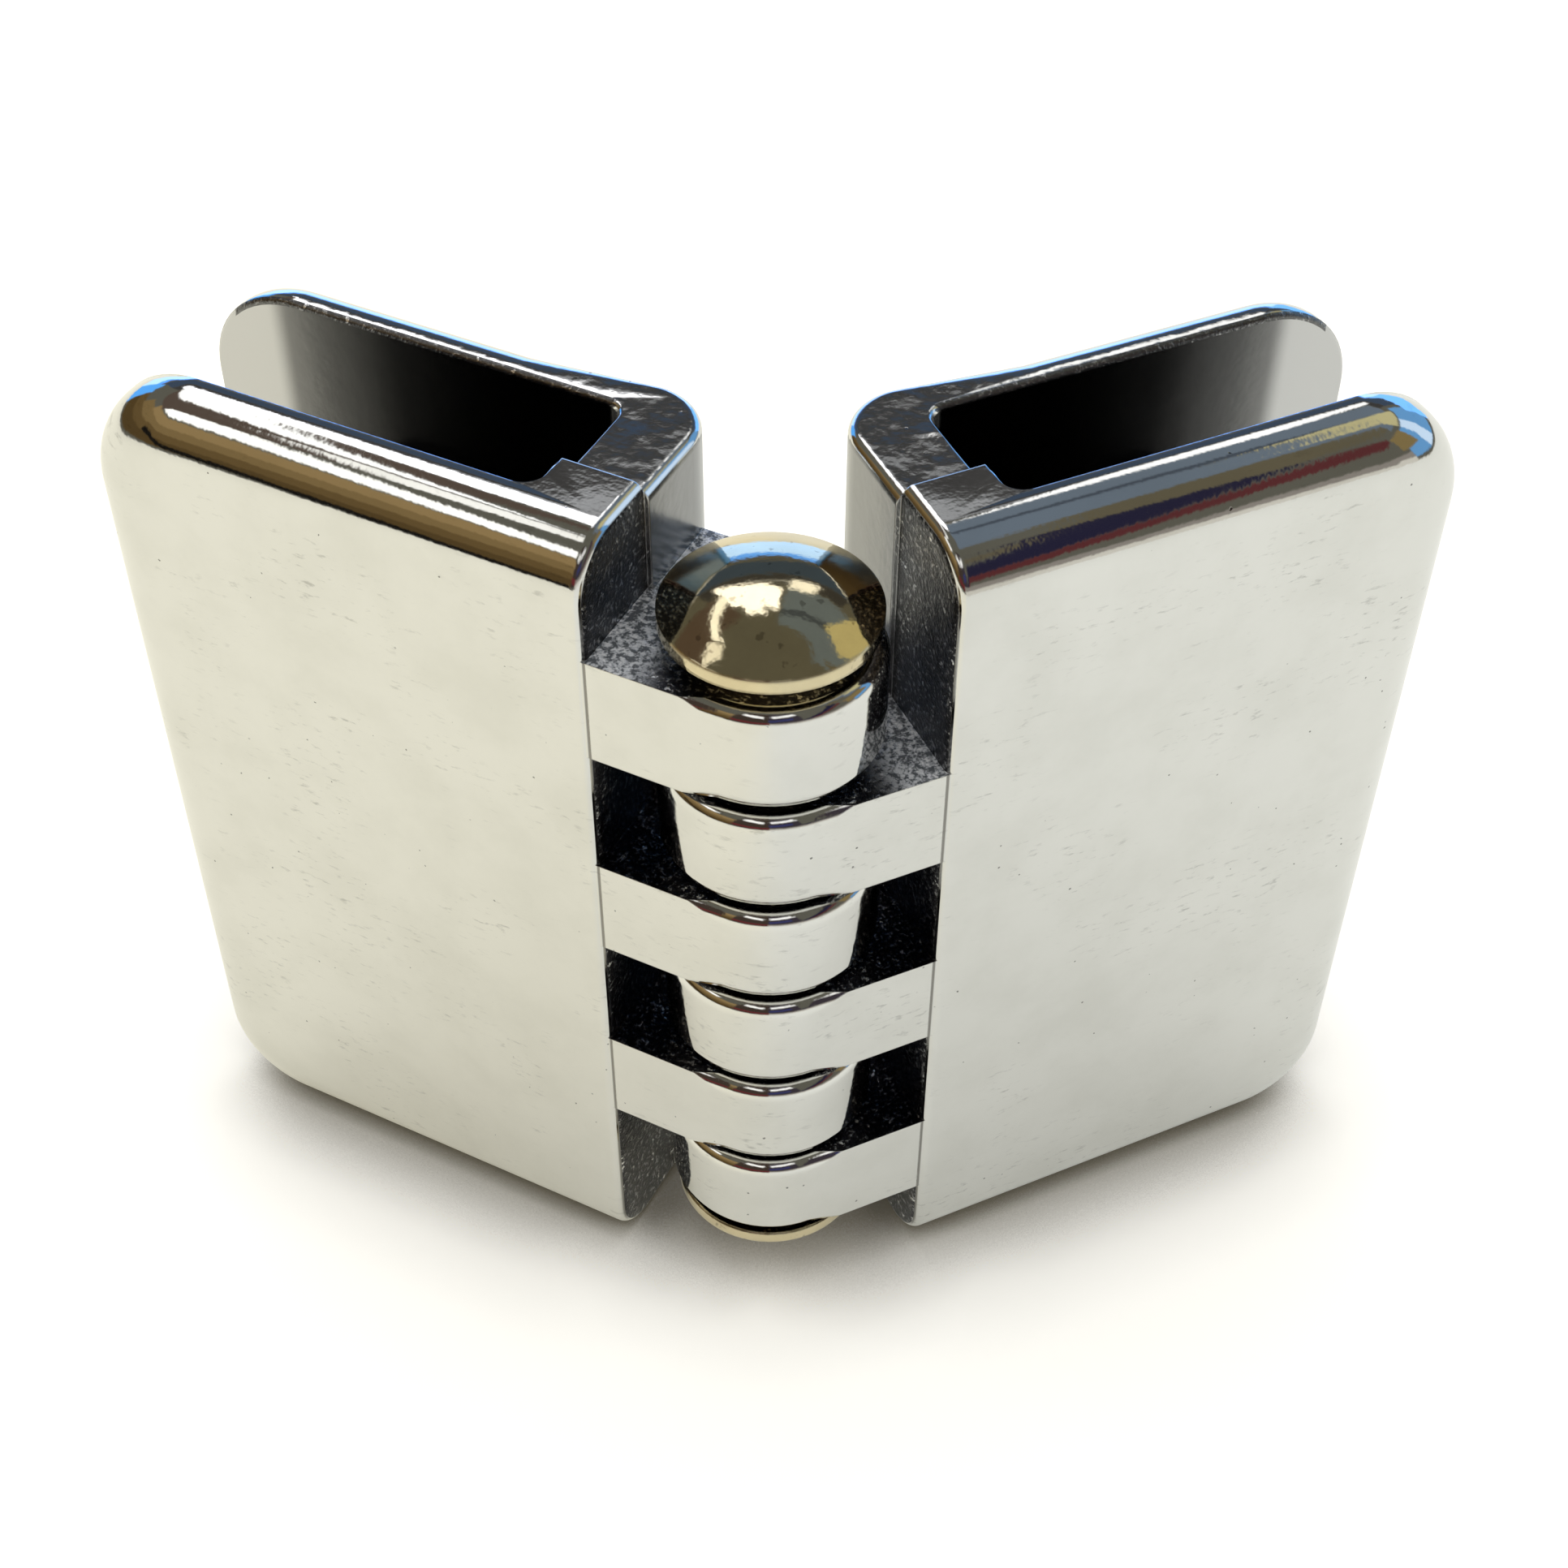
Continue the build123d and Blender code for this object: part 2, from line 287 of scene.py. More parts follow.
def new_material(name):
    """Material with an empty node sheet."""
    material = bpy.data.materials.new(name)
    material.use_nodes = True
    return material, NodeSheet(material.node_tree)


def close_material(sheet, **inputs):
    """Principled surface with the given inputs, written with underscores for spaces."""
    sockets = {name.replace("_", " "): value for name, value in inputs.items()}
    surface = sheet.add("ShaderNodeBsdfPrincipled", sockets)
    sheet.add("ShaderNodeOutputMaterial", {"Surface": surface.outputs[0]})


def paint(piece, material):
    """Give a piece one material."""
    piece.data.materials.clear()
    piece.data.materials.append(material)


def streaks(sheet, place):
    """Faint grey streaks that lie along the leaf in loose clusters, from 0 to 1."""
    drawn_out = sheet.add(
        "ShaderNodeMapping", {"Vector": place, "Scale": STREAK_STRETCH}, vector_type="POINT"
    ).outputs[0]
    fine = sheet.step(sheet.noise(drawn_out, STREAK_SCALE, 3.0, 0.65), *STREAK_LEVELS)
    clusters = sheet.step(sheet.noise(place, CLUSTER_SCALE, 2.0, 0.6), *CLUSTER_LEVELS)
    return sheet.product(fine, clusters)


def specks(sheet, place, spacing):
    """Small dark specks of uneven size and shape, from 0 to 1."""
    wander = sheet.add(
        "ShaderNodeTexNoise", {"Vector": place, "Scale": WANDER_SCALE, "Detail": 2.0}
    ).outputs["Color"]
    bent = sheet.add(
        "ShaderNodeVectorMath", {0: wander, 1: (SPECK_BEND,) * 3, 2: place}, operation="MULTIPLY_ADD"
    ).outputs[0]
    cells = sheet.add("ShaderNodeTexVoronoi", {"Vector": bent, "Scale": 1.0 / spacing}).outputs
    chance = sheet.add("ShaderNodeSeparateColor", {0: cells["Color"]}).outputs
    away = sheet.math("DIVIDE", cells["Distance"], sheet.mix(chance["Green"], *SPECK_REACH))
    inside = sheet.step(away, 1.0, 0.5)
    return sheet.product(inside, sheet.step(chance["Red"], *SPECK_CHANCE))


def plate_seam(sheet, place, side):
    """Fine line down the front where the knuckles' arms meet the plate, from 0 to 1."""
    parts = sheet.parts(place)
    depth = parts["Y"] if side == "right" else sheet.product(parts["Y"], -1.0)
    away = sheet.math("ABSOLUTE", sheet.math("SUBTRACT", parts["X"], SEAM_REACH))
    return sheet.product(sheet.step(away, *SEAM_FADE), sheet.step(depth, *SEAM_DEPTHS))


def smooth_plating(sheet, mottle, marks, pits, seam, settings):
    """Colour of the polished faces, with their haze, streaks, pits and the seam."""
    hazy = sheet.step(mottle, *HAZE_LEVELS)
    haze = sheet.tint(hazy, settings.polished_colour, settings.haze_colour)
    streaked = sheet.tint(sheet.product(marks, STREAK_STRENGTH), haze, STREAK_COLOUR)
    pitted = sheet.tint(sheet.product(pits, PIT_STRENGTH), streaked, PIT_COLOUR)
    return sheet.tint(sheet.product(seam, SEAM_STRENGTH), pitted, SEAM_COLOUR)


def grainy_plating_with_painted_light(sheet, place, grain, settings):
    """Colour of the faces that stayed as cast, with painted shade in the grain's hollows and bright flecks
    painted on as sparkles of light.
    """
    painted_sparkles = sheet.noise(place, PAINTED_SPARKLES_PER_GRAIN / settings.grain_size, 5.0, 0.62)
    raised = sheet.step(grain, *GRAIN_LEVELS)
    skin_with_painted_hollow_shade = sheet.tint(raised, settings.cast_shadow, settings.cast_colour_and_gap_shade)
    return sheet.tint(sheet.step(painted_sparkles, *PAINTED_SPARKLE_LEVELS), skin_with_painted_hollow_shade, PAINTED_SPARKLE_COLOUR)


def thin_plating_with_painted_shade(sheet, reach, settings):
    """Grey of the thin, dull plating inside the slots and on the rear walls, with painted shade that deepens
    into the slots.
    """
    # Painted shade is darkest deep in the slots and lifts towards their mouths
    deepest = settings.deep_slot_shade * DEEPEST_SHADE_SHARE
    deep = sheet.mix(sheet.step(reach, *DEEP_SLOT), deepest, settings.deep_slot_shade)
    slot = sheet.mix(sheet.step(reach, *OUTER_SLOT), deep, settings.mouth_tone)
    open_slot = sheet.mix(sheet.step(reach, *SLOT_MOUTH), slot, settings.mouth_tone * MOUTH_SHARE)
    tone = sheet.mix(sheet.step(reach, *WALL_BORDER), settings.wall_tone, open_slot)
    return sheet.add("ShaderNodeCombineColor", {0: tone, 1: tone, 2: tone}).outputs[0]


def frosted_plating_with_painted_light(sheet, place, reach, settings):
    """Colour of the outermost knuckles' open ends: a lighter, lit copy of the as-cast plating, with painted
    shade in the frost's hollows and painted glints farther out.
    """
    flakes = sheet.noise(place, FLAKES_PER_GRAIN / settings.grain_size, 5.0, 0.62)
    raised = sheet.step(flakes, *FROST_LEVELS)
    frost = sheet.tint(raised, settings.frost_shade, settings.lit_frost_colour)
    # White glints painted on, only farther out from the pin
    glints = sheet.product(sheet.step(flakes, *PAINTED_GLINT_LEVELS), sheet.step(reach, *PAINTED_GLINT_START))
    return sheet.tint(glints, frost, WHITE)


def chrome_plating(side, settings):
    """Bright plating on a casting: polished outside, as cast where the faces' shares say so."""
    material, sheet = new_material(f"chrome_plating_{side}")
    place = sheet.place(LEAF_SWEEP if side == "right" else math.pi - LEAF_SWEEP)
    reach = sheet.parts(place)["X"]
    grainy, dented, dull, open_end = (sheet.share(name) for name in SHARES)
    # Near the pin the open ends keep the dark grainy plating as painted shade under the pin's head
    frosted = sheet.product(open_end, sheet.step(reach, *HEAD_SHADE_TO_FROST))
    polished = sheet.math("SUBTRACT", 1.0, sheet.math("ADD", grainy, dull, clamp=True))
    mottle = sheet.noise(place, MOTTLE_SCALE, 5.0, 0.6)
    grain = sheet.noise(place, 1.0 / settings.grain_size, 4.0, 0.65)
    marks = sheet.product(streaks(sheet, place), polished)
    pits = sheet.product(specks(sheet, place, settings.pit_spacing), polished)
    seam = plate_seam(sheet, place, side)

    smooth = smooth_plating(sheet, mottle, marks, pits, seam, settings)
    cast = sheet.tint(grainy, smooth, grainy_plating_with_painted_light(sheet, place, grain, settings))
    plated = sheet.tint(dull, cast, thin_plating_with_painted_shade(sheet, reach, settings))
    colour = sheet.tint(frosted, plated, frosted_plating_with_painted_light(sheet, place, reach, settings))

    metal = sheet.math("SUBTRACT", 1.0, sheet.product(frosted, settings.frost_bloom))
    polish = sheet.mix(mottle, *(settings.polish_roughness * share for share in POLISH_SPREAD))
    cast_roughness = sheet.mix(grainy, polish, sheet.mix(grain, *GRAIN_ROUGHNESS))
    roughness = sheet.mix(dull, cast_roughness, settings.thin_roughness)

    dents = sheet.noise(place, 1.0 / settings.dent_size, 2.0, 0.45)
    swell = sheet.noise(place, SWELL_SCALE, 1.0)
    peel = sheet.product(sheet.noise(place, PEEL_SCALE, 1.0), settings.peel_depth)
    ripple = sheet.math("MULTIPLY_ADD", swell, settings.polish_ripple, peel)
    pitted = sheet.math("ADD", ripple, sheet.product(pits, -PIT_DEPTH))
    grooved = sheet.math("MULTIPLY_ADD", seam, -SEAM_GROOVE, pitted)
    grain_height = sheet.product(sheet.product(grain, grainy), settings.grain_depth)
    dent_height = sheet.product(sheet.product(dents, dented), settings.dent_depth)
    height = sheet.math("ADD", grooved, sheet.math("ADD", grain_height, dent_height))
    normal = sheet.relief(height, settings.edge_round)
    close_material(sheet, Base_Color=colour, Metallic=metal, Roughness=roughness, Normal=normal)
    return material


def pin_plating(settings):
    """Warm-toned polish on the pin, with a few marks from use."""
    material, sheet = new_material("pin_plating")
    place = sheet.place()
    mottle = sheet.noise(place, PIN_MOTTLE_SCALE, 5.0, 0.65)
    marks = sheet.step(sheet.noise(place, WEAR_SCALE, 2.0, 0.7), *WEAR_LEVELS)
    clouded = sheet.tint(mottle, settings.pin_colour, settings.pin_shade)
    colour = sheet.tint(sheet.product(marks, WEAR_STRENGTH), clouded, WEAR_COLOUR)
    roughness = sheet.mix(mottle, *(settings.pin_roughness * share for share in PIN_SPREAD))
    wrinkles = sheet.noise(place, WRINKLE_SCALE, 2.0, 0.6)
    wrinkle_height = sheet.product(wrinkles, settings.pin_ripple * WRINKLE_SHARE)
    swell = sheet.noise(place, SWELL_SCALE, 1.0)
    height = sheet.math("MULTIPLY_ADD", swell, settings.pin_ripple, wrinkle_height)
    normal = sheet.relief(height, settings.pin_edge_round)
    close_material(sheet, Base_Color=colour, Metallic=1.0, Roughness=roughness, Normal=normal)
    return material


def screw_steel(settings):
    """Darkened steel of the set screws, with fine turning marks."""
    material, sheet = new_material("screw_steel")
    place = sheet.place()
    stain = sheet.noise(place, SCREW_STAIN_SCALE, 3.0, 0.6)
    colour = sheet.tint(stain, settings.screw_colour, settings.screw_shade)
    roughness = sheet.mix(stain, *SCREW_ROUGHNESS)
    normal = sheet.relief(sheet.product(sheet.noise(place, TURNING_SCALE, 2.0), TURNING_MARKS))
    close_material(sheet, Base_Color=colour, Metallic=1.0, Roughness=roughness, Normal=normal)
    return material


def pad_polymer(settings):
    """Matt moulded nylon of the pads."""
    material, sheet = new_material("pad_polymer")
    place = sheet.place()
    cloud = sheet.noise(place, PAD_CLOUD_SCALE, 3.0, 0.6)
    colour = sheet.tint(cloud, settings.pad_colour, settings.pad_shade)
    roughness = sheet.mix(cloud, *PAD_ROUGHNESS)
    normal = sheet.relief(sheet.product(sheet.noise(place, MOULDED_SCALE, 2.0), MOULDED_GRAIN))
    close_material(sheet, Base_Color=colour, Roughness=roughness, Normal=normal)
    return material


def merged_copy(node, name):
    """Copy of a node with its loose triangles joined, as a bmesh and the object to hold it."""
    mesh = bpy.data.meshes.new(name)
    piece = bpy.data.objects.new(name, mesh)
    bpy.context.scene.collection.objects.link(piece)
    shape = bmesh.new()
    shape.from_mesh(frame["nodes"][node].data)
    bmesh.ops.remove_doubles(shape, verts=shape.verts, dist=MERGE_DISTANCE)
    bmesh.ops.dissolve_degenerate(shape, dist=MERGE_DISTANCE, edges=shape.edges)
    bmesh.ops.dissolve_limit(
        shape,
        angle_limit=FLAT_ANGLE,
        verts=shape.verts,
        edges=shape.edges,
        use_dissolve_boundaries=False,
    )
    return shape, piece


def shade_by_angle(shape):
    """Smooth shading, creased at steep edges and at corners where large flats meet steeply."""
    for face in shape.faces:
        face.smooth = True
    for edge in shape.edges:
        edge.smooth = len(edge.link_faces) == 2 and edge.calc_face_angle() < SMOOTH_ANGLE
    for vertex in shape.verts:
        flats = [face for face in vertex.link_faces if face.calc_area() > FLAT_AREA]
        turns = [first.normal.angle(second.normal) for first, second in combinations(flats, 2)]
        if turns and max(turns) > SMOOTH_ANGLE:
            for edge in vertex.link_edges:
                if any(face in flats for face in edge.link_faces):
                    edge.smooth = False


def close_piece(shape, piece, material, body, nodes):
    """Write the bmesh into its object, set what it rides on and its finish, and hide the nodes that it takes
    the place of.
    """
    shape.to_mesh(piece.data)
    shape.free()
    if "custom_normal" in piece.data.attributes:
        piece.data.attributes.remove(piece.data.attributes["custom_normal"])
    weighting = piece.modifiers.new("even_normals", "WEIGHTED_NORMAL")
    weighting.mode = "FACE_AREA"
    weighting.keep_sharp = True
    paint(piece, material)
    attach(piece, body)
    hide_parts(*nodes)


def cast_finish(face, side):
    """Which finish a face of a casting was left with, told by where it lies and how it faces."""
    reach_axis, depth_axis = leaf_axes(side)
    offset = face.calc_center_median() - PIN
    reach = offset.dot(reach_axis)
    depth = offset.dot(depth_axis)
    level = abs(face.normal.z)
    in_slot = SLOT_FRONT - SLOT_RIM < depth < SLOT_REAR + SLOT_RIM
    on_wall = abs(reach - WALL_REACH) < WALL_MARGIN and face.normal.dot(reach_axis) < -FACING_PIN
    if SLOPING_FACE < level < LEVEL_FACE and reach > WEB_END and in_slot:
        return GRAINY_SLOT_RIM
    if level > LEVEL_FACE and reach < WALL_REACH:
        is_open = face.normal.z * (offset.z - MIDDLE) > OUTERMOST
        return FROSTED_LIT_KNUCKLE if is_open else GRAINY_SHADED_KNUCKLE
    if level > LEVEL_FACE and reach < WEB_END:
        return DENTED_WEB if depth > SLOT_FRONT else DENTED_FRONT
    if on_wall and depth < WALL_STEP:
        return ROUGH_WALL
    if on_wall or (in_slot and level < SLOPING_FACE and reach > WEB_END - SLOT_RIM):
        return THINLY_PLATED
    return POLISHED


class CastingSettings(bpy.types.PropertyGroup):
    """Plating of the two castings"""

    polished_colour: bpy.props.FloatVectorProperty(
        name="Polished plating", description="Colour of the polished faces", subtype="COLOR",
        size=4, min=0.0, max=1.0, default=(0.74, 0.74, 0.72, 1.0),
    )
    haze_colour: bpy.props.FloatVectorProperty(
        name="Haze", description="Colour of the faint mottling on the polished faces", subtype="COLOR",
        size=4, min=0.0, max=1.0, default=(0.69, 0.69, 0.665, 1.0),
    )
    # Partly the real grey of unpolished plating and partly painted shade: kept dark so that the knuckle gaps
    # and the recessed walls look shaded
    cast_colour_and_gap_shade: bpy.props.FloatVectorProperty(
        name="As-cast plating", description="Colour of the plated faces that were never polished",
        subtype="COLOR", size=4, min=0.0, max=1.0, default=(0.42, 0.42, 0.43, 1.0),
    )
    # Lit copy of the as-cast colour, on the outermost knuckles' open ends
    lit_frost_colour: bpy.props.FloatVectorProperty(
        name="Frosted grain", description="Colour of the open ends of the outermost knuckles",
        subtype="COLOR", size=4, min=0.0, max=1.0, default=(0.72, 0.74, 0.76, 1.0),
    )
    # Painted shade in the hollows of the frosted grain
    frost_shade: bpy.props.FloatVectorProperty(
        name="Frosted hollows", description="Colour in the hollows of the frosted grain",
        subtype="COLOR", size=4, min=0.0, max=1.0, default=(0.15, 0.16, 0.17, 1.0),
    )
    frost_bloom: bpy.props.FloatProperty(
        name="Frost bloom", description="How far the frosted grain scatters light instead of mirroring it",
        subtype="FACTOR", min=0.0, max=1.0, default=0.65,
    )
    # Painted shade in the hollows of the as-cast grain
    cast_shadow: bpy.props.FloatVectorProperty(
        name="As-cast hollows", description="Colour in the grain of the unpolished faces",
        subtype="COLOR", size=4, min=0.0, max=1.0, default=(0.03, 0.03, 0.035, 1.0),
    )
    wall_tone: bpy.props.FloatProperty(
        name="Wall tone", description="Brightness of the dull plating on the rear walls",
        subtype="FACTOR", min=0.0, max=1.0, default=0.31,
    )
    # Lighter tone at the slots' open ends, where the painted shade lifts
    mouth_tone: bpy.props.FloatProperty(
        name="Slot mouth tone", description="Brightness of the thin plating at the slots' open ends",
        subtype="FACTOR", min=0.0, max=1.0, default=0.30,
    )
    # Painted shade deep in the slots
    deep_slot_shade: bpy.props.FloatProperty(
        name="Slot depth tone", description="Brightness of the thin plating deep in the slots",
        subtype="FACTOR", min=0.0, max=1.0, default=0.045,
    )
    thin_roughness: bpy.props.FloatProperty(
        name="Thin plating roughness", description="Roughness inside the slots and on the rear walls",
        subtype="FACTOR", min=0.0, max=1.0, default=0.22,
    )
    polish_roughness: bpy.props.FloatProperty(
        name="Polish roughness", description="Roughness of the polished faces",
        subtype="FACTOR", min=0.0, max=1.0, default=0.06,
    )
    peel_depth: bpy.props.FloatProperty(
        name="Orange peel", description="Height of the fine unevenness of the polished faces",
        subtype="DISTANCE", min=0.0, default=0.0026 * MM, precision=7,
    )
    polish_ripple: bpy.props.FloatProperty(
        name="Polish ripple", description="Height of the slow waves that buffing left",
        subtype="DISTANCE", min=0.0, default=0.010 * MM, precision=6,
    )
    grain_size: bpy.props.FloatProperty(
        name="Grain size", description="Width of the casting's grain",
        subtype="DISTANCE", min=0.01 * MM, default=0.22 * MM, precision=6,
    )
    grain_depth: bpy.props.FloatProperty(
        name="Grain depth", description="Depth of the casting's grain",
        subtype="DISTANCE", min=0.0, default=0.06 * MM, precision=6,
    )
    dent_size: bpy.props.FloatProperty(
        name="Dent size", description="Width of the soft dents on the unpolished ends",
        subtype="DISTANCE", min=0.05 * MM, default=1.5 * MM, precision=6,
    )
    dent_depth: bpy.props.FloatProperty(
        name="Dent depth", description="Depth of the soft dents on the unpolished ends",
        subtype="DISTANCE", min=0.0, default=0.055 * MM, precision=6,
    )
    pit_spacing: bpy.props.FloatProperty(
        name="Pit spacing", description="Distance between the pits in the plating",
        subtype="DISTANCE", min=0.05 * MM, default=0.9 * MM, precision=6,
    )
    edge_round: bpy.props.FloatProperty(
        name="Edge round", description="Radius that the plating gives to every edge",
        subtype="DISTANCE", min=0.0, default=0.10 * MM, precision=6,
    )


class PinSettings(bpy.types.PropertyGroup):
    """Finish of the hinge pin and its end cap"""

    pin_colour: bpy.props.FloatVectorProperty(
        name="Pin plating", description="Colour of the pin's warm plating", subtype="COLOR",
        size=4, min=0.0, max=1.0, default=(0.78, 0.69, 0.46, 1.0),
    )
    pin_shade: bpy.props.FloatVectorProperty(
        name="Pin shade", description="Darker tone that clouds the pin's plating", subtype="COLOR",
        size=4, min=0.0, max=1.0, default=(0.55, 0.47, 0.31, 1.0),
    )
    pin_roughness: bpy.props.FloatProperty(
        name="Pin roughness", description="Roughness of the pin's polish",
        subtype="FACTOR", min=0.0, max=1.0, default=0.06,
    )
    pin_ripple: bpy.props.FloatProperty(
        name="Pin ripple", description="Height of the unevenness of the pin's heads",
        subtype="DISTANCE", min=0.0, default=0.020 * MM, precision=6,
    )
    pin_edge_round: bpy.props.FloatProperty(
        name="Edge round", description="Radius on the rims of the pin's heads",
        subtype="DISTANCE", min=0.0, default=0.22 * MM, precision=6,
    )


class ClampSettings(bpy.types.PropertyGroup):
    """Finish of the clamp screws and their pads"""

    screw_colour: bpy.props.FloatVectorProperty(
        name="Screw steel", description="Colour of the set screws", subtype="COLOR",
        size=4, min=0.0, max=1.0, default=(0.36, 0.36, 0.37, 1.0),
    )
    screw_shade: bpy.props.FloatVectorProperty(
        name="Screw stain", description="Darker tone of the set screws", subtype="COLOR",
        size=4, min=0.0, max=1.0, default=(0.22, 0.22, 0.23, 1.0),
    )
    pad_colour: bpy.props.FloatVectorProperty(
        name="Pad nylon", description="Colour of the pads", subtype="COLOR",
        size=4, min=0.0, max=1.0, default=(0.030, 0.030, 0.032, 1.0),
    )
    pad_shade: bpy.props.FloatVectorProperty(
        name="Pad bloom", description="Lighter tone that clouds the pads", subtype="COLOR",
        size=4, min=0.0, max=1.0, default=(0.055, 0.055, 0.056, 1.0),
    )


class StageSettings(bpy.types.PropertyGroup):
    """Camera, floor and studio light"""

    camera_place: bpy.props.FloatVectorProperty(
        name="Camera place", description="Where the camera stands", subtype="XYZ",
        size=3, default=(1.526 * MM, -78.20 * MM, 102.2 * MM), precision=5,
    )
    camera_pan: bpy.props.FloatProperty(
        name="Camera pan", description="Turn of the camera to the left about the vertical",
        subtype="ANGLE", default=math.radians(0.771),
    )
    camera_tilt: bpy.props.FloatProperty(
        name="Camera tilt", description="Angle between the view and straight down",
        subtype="ANGLE", default=math.radians(45.111),
    )
    camera_roll: bpy.props.FloatProperty(
        name="Camera roll", description="Turn of the camera about its view",
        subtype="ANGLE", default=math.radians(0.396),
    )
    camera_lens: bpy.props.FloatProperty(
        name="Camera lens", description="Focal length in millimetres on a 36 mm sensor",
        min=10.0, default=54.5,
    )
    floor_colour: bpy.props.FloatVectorProperty(
        name="Floor", description="Colour of the table top", subtype="COLOR",
        size=4, min=0.0, max=1.0, default=(0.97, 0.955, 0.90, 1.0),
    )
    floor_glow: bpy.props.FloatProperty(
        name="Floor glow", description="How much whiter the table shows to the camera",
        min=0.0, default=0.36,
    )
    mirror_glow: bpy.props.FloatProperty(
        name="Mirror glow", description="How much whiter the table shows in polished metal",
        min=0.0, default=0.12,
    )
    mirror_left: bpy.props.FloatVectorProperty(
        name="Mirrored floor, left", description="Colour of the table left of the hinge in polished metal",
        subtype="COLOR", size=4, min=0.0, max=1.0, default=(1.0, 0.968, 0.81, 1.0),
    )
    mirror_right: bpy.props.FloatVectorProperty(
        name="Mirrored floor, right", description="Colour of the table right of the hinge in polished metal",
        subtype="COLOR", size=4, min=0.0, max=1.0, default=(0.93, 0.935, 0.87, 1.0),
    )
    # Painted contact shadow: the table's colour is darkened to this, and its glow taken away, within the
    # shadow reach of the hinge
    contact_shade: bpy.props.FloatVectorProperty(
        name="Contact shade", description="What is left of the table's colour where the hinge touches it",
        subtype="COLOR", size=4, min=0.0, max=1.0, default=(0.20, 0.18, 0.14, 1.0),
    )
    shadow_reach: bpy.props.FloatProperty(
        name="Shadow reach", description="How far from the hinge the table loses its glow",
        subtype="DISTANCE", min=0.0, default=8.0 * MM, precision=5,
    )
    floor_size: bpy.props.FloatProperty(
        name="Floor size", description="Length of the table top's sides",
        subtype="DISTANCE", min=0.5, default=3.0,
    )
    sky_strength: bpy.props.FloatProperty(
        name="Sky strength", description="Strength of the even light from all sides",
        min=0.0, default=0.85,
    )
    lamp_power: bpy.props.FloatProperty(
        name="Lamp power", description="Power of the soft lamp above the table",
        subtype="POWER", min=0.0, default=0.35,
    )
    lamp_size: bpy.props.FloatProperty(
        name="Lamp size", description="Width of the soft lamp",
        subtype="DISTANCE", min=0.0, default=0.45,
    )
    lamp_place: bpy.props.FloatVectorProperty(
        name="Lamp place", description="Where the soft lamp hangs, above and behind the hinge",
        subtype="XYZ", size=3, default=(-0.12, 0.18, 0.5),
    )


class CORNERHINGE_OT_castings(bpy.types.Operator):
    """Finish the two clamp castings with chrome plating"""

    bl_idname = "corner_hinge.castings"
    bl_label = "Plate the Castings"

    def execute(self, context):
        settings = context.scene.corner_hinge_castings
        for side in SIDES:
            shape, piece = merged_copy(f"{side}_clamp_body", f"{side}_plated_casting")
            shade_by_angle(shape)
            for name in SHARES:
                shape.faces.layers.float.new(name)
            layers = [shape.faces.layers.float[name] for name in SHARES]
            shape.normal_update()
            for face in shape.faces:
                for layer, share in zip(layers, cast_finish(face, side)):
                    face[layer] = share
            close_piece(
                shape, piece, chrome_plating(side, settings),
                f"{side}_leaf", [f"{side}_clamp_body"],
            )
        return {"FINISHED"}


class CORNERHINGE_OT_pin(bpy.types.Operator):
    """Finish the hinge pin and its end cap with warm plating"""

    bl_idname = "corner_hinge.pin"
    bl_label = "Plate the Pin"

    def execute(self, context):
        material = pin_plating(context.scene.corner_hinge_pin)
        for node in ("hinge_pin", "pin_end_cap"):
            paint(frame["nodes"][node], material)
        return {"FINISHED"}


class CORNERHINGE_OT_clamps(bpy.types.Operator):
    """Finish the clamp screws and their pads"""

    bl_idname = "corner_hinge.clamps"
    bl_label = "Finish Screws and Pads"

    def execute(self, context):
        settings = context.scene.corner_hinge_clamps
        steel = screw_steel(settings)
        nylon = pad_polymer(settings)
        for side in SIDES:
            for level in LEVELS:
                paint(frame["nodes"][f"{side}_{level}_clamp_screw"], steel)
                paint(frame["nodes"][f"{side}_{level}_clamp_pad"], nylon)
        return {"FINISHED"}


